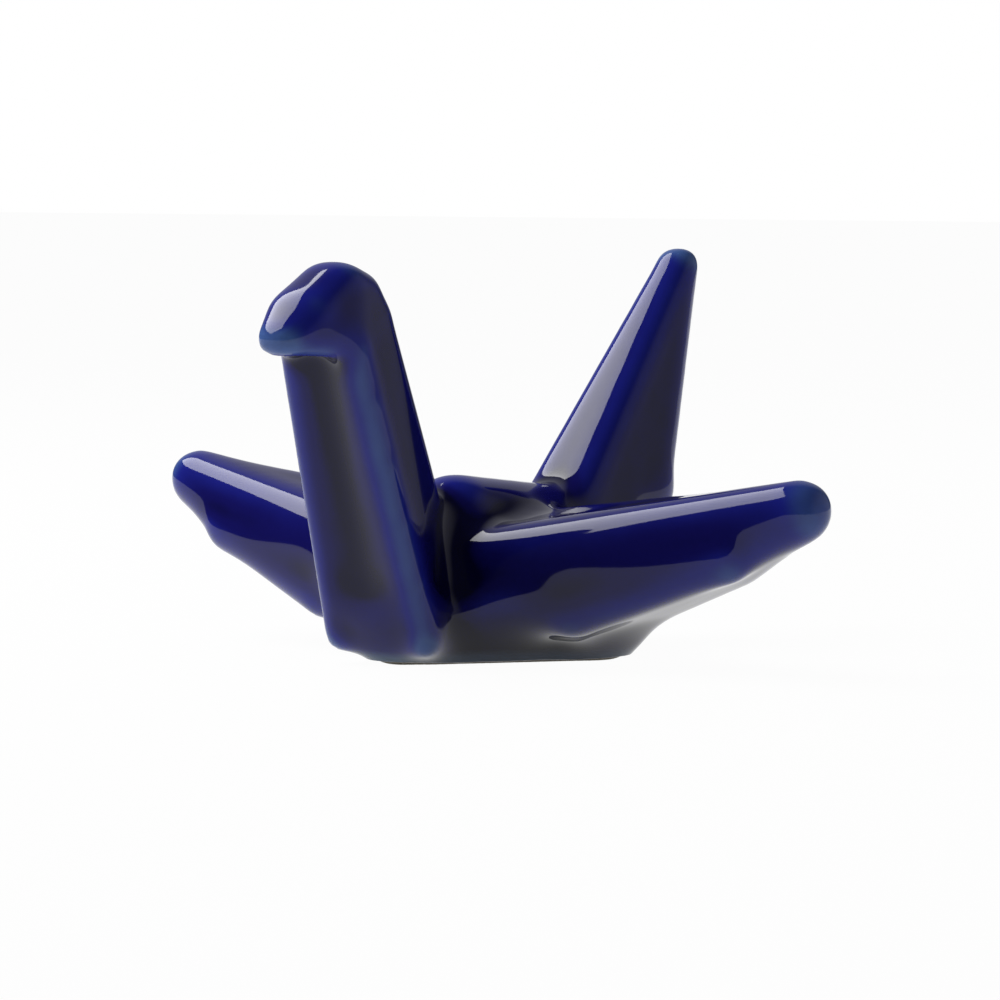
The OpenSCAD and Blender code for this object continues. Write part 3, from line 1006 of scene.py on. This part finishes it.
@dataclass
class GlazeCoat:
    """The coat of glass on the clay, one closed shell for each member.

    The glaze line round the foot wanders by a sum of waves. Each wave has its count round the
    foot, its height and its start.
    """

    form: CraneForm
    joints: Joints
    finish: CobaltGlaze
    cell: float = 0.3
    line_z: float = 0.45
    line_wave: float = 0.05
    line_middle_y: float = 2.0
    line_waves: tuple = ((3, 1.0, 0.7), (7, 0.6, 0.0), (13, 0.4, 2.0))
    line_near: float = 1e-3
    lip_steps: int = 6

    def line(self, p: Array) -> Array:
        """Height of each point above the glaze line.

        Args:
            p: points, one a row.

        Returns:
            One height for each point.
        """
        turn = np.arctan2(p[:, 1] - self.line_middle_y, p[:, 0])
        wave = sum(high * np.sin(count * turn + start) for count, high, start in self.line_waves)
        return p[:, 2] - self.line_z - self.line_wave * wave

    def outer(self) -> Skin:
        """Outside of the whole coat, down to the glaze line."""
        skin = LevelSurface(self.form.glaze_at, *self.form.space(), self.cell).build()
        return skin.cut(self.line(skin.points))

    def shell(self, skin: Skin) -> tuple[Array, Array, Array, Array]:
        """Closes a skin into a shell one coat thick.

        The inside is the outside moved in along its normals. Along a joint a flat wall joins
        the two, and along the glaze line a half-round lip does.

        Args:
            skin: the member's outside.

        Returns:
            Points, faces and shading normals of the shell, and the points' bend values.
        """
        n, bend, count = skin.normals, skin.bend, len(skin.points)
        rim = skin.rim()
        on_line = np.abs(self.line(skin.points)) < self.line_near
        lip_edge = on_line[rim].all(axis=1)
        a, b = rim[~lip_edge].T
        faces = [skin.faces, skin.faces[:, ::-1] + count]
        faces.append(np.stack([b, a, a + count], axis=1))
        faces.append(np.stack([b, a + count, b + count], axis=1))
        points, normals, bends = [skin.points, skin.points - n * self.form.coat], [n, -n], [bend, bend]
        if lip_edge.any():
            lip_points, lip_normals, lip_bend, lip_faces = self.lip(skin, rim[lip_edge])
            points.append(lip_points)
            normals.append(lip_normals)
            bends.append(lip_bend)
            faces.append(lip_faces)
        return tuple(np.concatenate(parts) for parts in (points, faces, normals, bends))

    def lip(self, skin: Skin, edges: Array) -> tuple[Array, Array, Array, Array]:
        """Makes the half-round lip below the glaze line.

        From each point of the line it goes round the middle of the coat, half a turn, to the
        inside. Where the line ends at a joint, a fan closes the lip's end.

        Args:
            skin: the member's outside.
            edges: the skin's open edges along the line.

        Returns:
            The lip's own points, their normals and bend values, and the faces, which count
            the outside's points first, the inside's next and the lip's own last.
        """
        count, coat = len(skin.points), self.form.coat
        ring = np.unique(edges)
        place = np.full(count, -1)
        place[ring] = np.arange(len(ring))
        out = skin.normals[ring]
        down = -unit(point(0, 0, 1) - out * out[:, 2:3])
        middle = skin.points[ring] - out * coat / 2
        angles = np.pi * np.arange(1, self.lip_steps) / self.lip_steps
        normals = np.concatenate([out * np.cos(a) + down * np.sin(a) for a in angles])
        points = np.tile(middle, (len(angles), 1)) + normals * coat / 2
        bend = np.tile(skin.bend[ring], len(angles))
        own = 2 * count + np.arange(len(normals)).reshape(len(angles), len(ring))
        rows = [ring, *own, ring + count]
        first, last = place[edges].T
        faces = []
        for upper, lower in zip(rows[:-1], rows[1:]):
            faces.append(np.stack([upper[last], upper[first], lower[first]], axis=1))
            faces.append(np.stack([upper[last], lower[first], lower[last]], axis=1))
        ends, times = np.unique(edges, return_counts=True)
        for end in place[ends[times == 1]]:
            starts_here = bool(np.any(first == end))
            for upper, lower in zip(rows[1:-1], rows[2:]):
                fan = [rows[0][end], upper[end], lower[end]]
                faces.append(np.array([fan if starts_here else fan[::-1]]))
        return points, normals, bend, np.concatenate(faces)

    def build(self) -> list[bpy.types.Object]:
        """Makes the shells and puts each in the place of its node.

        Returns:
            The six pieces.
        """
        material = self.finish.material()
        pieces = []
        for member, skin in self.joints.members(self.outer()).items():
            points, faces, normals, bend = self.shell(skin)
            node = f"{member.value}_glaze"
            piece = add_piece(f"{node}_skin", points, faces, normals, material, {"bend": bend})
            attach(piece, ROOT_BODY)
            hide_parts(node)
            pieces.append(piece)
        return pieces


@dataclass
class ClayFigure:
    """The fired clay under the glaze, one closed solid for each member."""

    form: CraneForm
    joints: Joints
    finish: BareClay
    cell: float = 0.5

    def capped(self, skin: Skin) -> tuple[Array, Array, Array]:
        """Closes each open joint of a skin with a fan from the joint's middle.

        Args:
            skin: a member's skin, open at its joints.

        Returns:
            Points, faces and shading normals of the closed solid.
        """
        rim = skin.rim()
        points, faces, normals = [skin.points], [skin.faces], [skin.normals]
        for k, loop in enumerate(self.loops(rim)):
            a, b = rim[loop].T
            middle = skin.points[a].mean(axis=0, keepdims=True)
            points.append(middle)
            arms = skin.points[rim[loop]] - middle
            normals.append(unit(np.cross(arms[:, 1], arms[:, 0]).sum(axis=0, keepdims=True)))
            hub = np.full(len(a), len(skin.points) + k)
            faces.append(np.stack([b, a, hub], axis=1))
        return np.concatenate(points), np.concatenate(faces), np.concatenate(normals)

    @staticmethod
    def loops(rim: Array) -> list[Array]:
        """Sorts a rim into closed loops.

        Args:
            rim: open edges as pairs of corner numbers, each in its running direction.

        Returns:
            Row numbers of the rim's edges, one array for each loop.
        """
        following = dict(zip(rim[:, 0].tolist(), range(len(rim))))
        left, found = set(range(len(rim))), []
        while left:
            row = min(left)
            loop = []
            while row in left:
                left.remove(row)
                loop.append(row)
                row = following[int(rim[row, 1])]
            found.append(np.array(loop))
        return found

    def build(self) -> list[bpy.types.Object]:
        """Makes the solids and puts each in the place of its node.

        Returns:
            The six pieces.
        """
        material = self.finish.material()
        whole = LevelSurface(self.form.clay_at, *self.form.space(), self.cell).build()
        pieces = []
        for member, skin in self.joints.members(whole).items():
            points, faces, normals = self.capped(skin)
            piece = add_piece(f"{member.value}_clay", points, faces, normals, material)
            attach(piece, ROOT_BODY)
            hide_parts(member.value)
            pieces.append(piece)
        return pieces


@dataclass(frozen=True)
class Studio:
    """White table and backdrop, one large soft box and the camera, in millimetres and degrees.

    The scale is the length that a pixel covers at the target. The room is dim but for three
    areas: a white board, a pale glow above it and a pale side wall. Each has two angles from
    its middle: up to the first it is full, and from the second on it is gone.
    """

    azimuth: float = 38.56
    elevation: float = 4.0
    target: tuple = (1.56, 0.7, 14.0)
    distance: float = 443.04
    scale: float = 0.0900848
    image: int = 1000
    sensor: float = 36.0
    clip: tuple = (10.0, 50000.0)
    floor_half: float = 2500.0
    table: tuple = (0.85, 0.85, 0.85, 1.0)
    table_white: float = 0.97
    box_from: tuple = (-0.62, 0.76, -0.16)
    box_distance: float = 420.0
    box_size: tuple = (400.0, 255.0)
    box_power: float = 2.0
    board_angles: tuple = (9.5, 15.0)
    glow_angles: tuple = (15.0, 40.0)
    glow_lift: float = 35.0
    side_angles: tuple = (25.0, 62.0)
    room: tuple = (0.04, 0.04, 0.045, 1.0)
    side_wall: tuple = (0.42, 0.42, 0.44, 1.0)
    glow: tuple = (0.42, 0.42, 0.44, 1.0)
    white: tuple = (1.0, 1.0, 1.0, 1.0)

    def axes(self) -> tuple[Array, Array, Array]:
        """Works out the camera's axes from its azimuth and elevation.

        Returns:
            Directions to the right, up and towards the viewer.
        """
        a, e = np.radians(self.azimuth), np.radians(self.elevation)
        back = point(np.sin(a) * np.cos(e), -np.cos(a) * np.cos(e), np.sin(e))
        right = point(np.cos(a), np.sin(a), 0)
        return right, np.cross(back, right), back

    def in_room(self, seen: tuple) -> Array:
        """A direction given as right, up and towards the viewer, in the figure's frame."""
        return unit(sum(s * axis for s, axis in zip(seen, self.axes())))

    @staticmethod
    def place(columns: tuple[Array, Array, Array], where: Array) -> Matrix:
        """Sets three axes at a place.

        Args:
            columns: directions of the object's own axes.
            where: the place in millimetres.

        Returns:
            The object's matrix.
        """
        made = np.eye(4)
        made[:3, :3] = np.stack(columns, axis=1)
        made[:3, 3] = where * MM
        return Matrix(made.tolist())

    def camera(self) -> None:
        """Sets the camera where the photograph was taken from."""
        right, up, back = self.axes()
        data = bpy.data.cameras.new("camera")
        data.sensor_width = self.sensor
        data.lens = self.distance / self.scale * self.sensor / self.image
        data.clip_start, data.clip_end = (v * MM for v in self.clip)
        made = bpy.data.objects.new("camera", data)
        made.matrix_world = self.place((right, up, back), np.array(self.target) + back * self.distance)
        bpy.context.scene.collection.objects.link(made)
        bpy.context.scene.camera = made

    def floor(self) -> None:
        """Lays the white table."""
        s = self.floor_half * MM
        mesh = bpy.data.meshes.new("table")
        mesh.from_pydata([(-s, -s, 0), (s, -s, 0), (s, s, 0), (-s, s, 0)], [], [(0, 1, 2, 3)])
        material = bpy.data.materials.new("white_table")
        material.use_nodes = True
        g = Graph(material.node_tree)
        path = g.node("LightPath").outputs
        seen = g.math("MAXIMUM", path["Is Camera Ray"], path["Is Glossy Ray"])
        seen = g.math("MAXIMUM", seen, path["Is Transmission Ray"])
        white = g.node("Emission", {"Color": self.white, "Strength": 1.0})
        board = g.node("BsdfDiffuse", {"Color": self.table})
        part = g.math("MULTIPLY", seen, self.table_white)
        shader = g.node("MixShader", {0: part, 1: board.outputs[0], 2: white.outputs[0]})
        g.finish(shader)
        mesh.materials.append(material)
        made = bpy.data.objects.new("table", mesh)
        bpy.context.scene.collection.objects.link(made)

    def lamp(self) -> None:
        """Hangs the soft box high on the viewer's left, a little behind the figure and facing it."""
        towards = self.in_room(self.box_from)
        side = unit(np.cross(point(0, 0, 1), towards))
        data = bpy.data.lights.new("soft_box", "AREA")
        data.shape = "RECTANGLE"
        data.size, data.size_y = (v * MM for v in self.box_size)
        data.energy = self.box_power
        made = bpy.data.objects.new("soft_box", data)
        where = np.array(self.target) + towards * self.box_distance
        made.matrix_world = self.place((side, np.cross(towards, side), towards), where)
        bpy.context.scene.collection.objects.link(made)

    def surroundings(self) -> None:
        """Makes the room: white behind the figure, pale above that and at the right, dim elsewhere."""
        world = bpy.data.worlds.new("studio")
        bpy.context.scene.world = world
        world.use_nodes = True
        g = Graph(world.node_tree)
        right, up, towards = self.axes()
        lift = np.radians(self.glow_lift)
        high = np.sin(lift) * up - np.cos(lift) * towards
        ray = g.node("TexCoord").outputs["Generated"]
        tone = self.room
        for axis, angles, tint in (
            (right, self.side_angles, self.side_wall),
            (high, self.glow_angles, self.glow),
            (-towards, self.board_angles, self.white),
        ):
            dot = g.node("VectorMath", {0: ray, 1: tuple(axis)}, operation="DOT_PRODUCT")
            full, gone = np.cos(np.radians(angles))
            tone = g.mix(g.ramp(dot.outputs["Value"], gone, full), tone, tint)
        g.finish(g.node("Background", {"Color": tone, "Strength": 1.0}), "OutputWorld")

    def build(self) -> None:
        """Sets up the camera, the table, the lamp and the room."""
        self.camera()
        self.floor()
        self.lamp()
        self.surroundings()
        bpy.context.scene.view_settings.view_transform = "Standard"


def main() -> None:
    """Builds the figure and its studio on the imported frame."""
    logging.basicConfig(level=logging.INFO, format="%(name)s: %(message)s")
    for spare in list(bpy.data.objects):
        bpy.data.objects.remove(spare)
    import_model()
    form, joints = CraneForm(), Joints()
    Studio().build()
    pieces = ClayFigure(form, joints, BareClay()).build()
    pieces += GlazeCoat(form, joints, CobaltGlaze()).build()
    for piece in pieces:
        LOG.info("%s: %d triangles", piece.name, len(piece.data.polygons))


if __name__ == "__main__":
    main()
